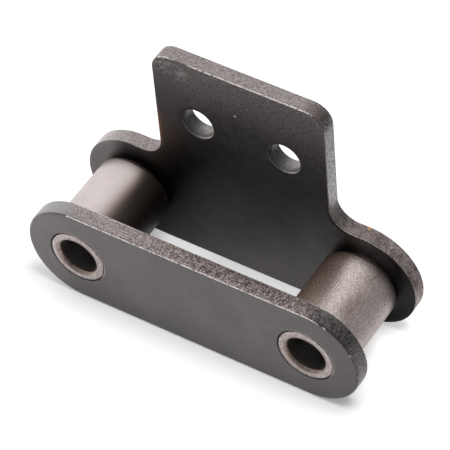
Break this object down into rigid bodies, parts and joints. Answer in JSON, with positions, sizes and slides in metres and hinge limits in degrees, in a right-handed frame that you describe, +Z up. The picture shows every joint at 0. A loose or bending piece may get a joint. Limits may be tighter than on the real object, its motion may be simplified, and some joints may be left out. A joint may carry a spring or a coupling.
{
  "type": "chain attachment link",
  "caption": "Inner link of a double-pitch roller chain: straight-sided plates on pressed bushes, free rollers, and an upright tab with bolt holes on one plate.",
  "frame": {"origin": "centre of the footprint, on the surface that the plates' lower edges stand on", "axes": "+X along the chain, +Y from the plain plate to the attachment plate, +Z up along the tab"},
  "size_m": [0.0552, 0.0188, 0.0385],
  "materials": {
    "plate_steel": "dark oxide, satin, with mottled brown-grey blanked edges",
    "bush_steel": "ground bright end faces, dark bore",
    "roller_steel": "fine-grained satin steel with a warm tint"
  },
  "bodies": {
    "link": {"plain_plate": "plate_steel", "attachment_plate": "plate_steel", "bush_left": "bush_steel", "bush_right": "bush_steel"},
    "left_roller": {"roller_left": "roller_steel"},
    "right_roller": {"roller_right": "roller_steel"}
  },
  "joints": [
    {"name": "left_roller_spin", "type": "hinge", "parent": "link", "child": "left_roller", "pos_m": [-0.01905, 0, 0.0085], "axis": [0, 1, 0], "continuous": true},
    {"name": "right_roller_spin", "type": "hinge", "parent": "link", "child": "right_roller", "pos_m": [0.01905, 0, 0.0085], "axis": [0, 1, 0], "continuous": true}
  ]
}
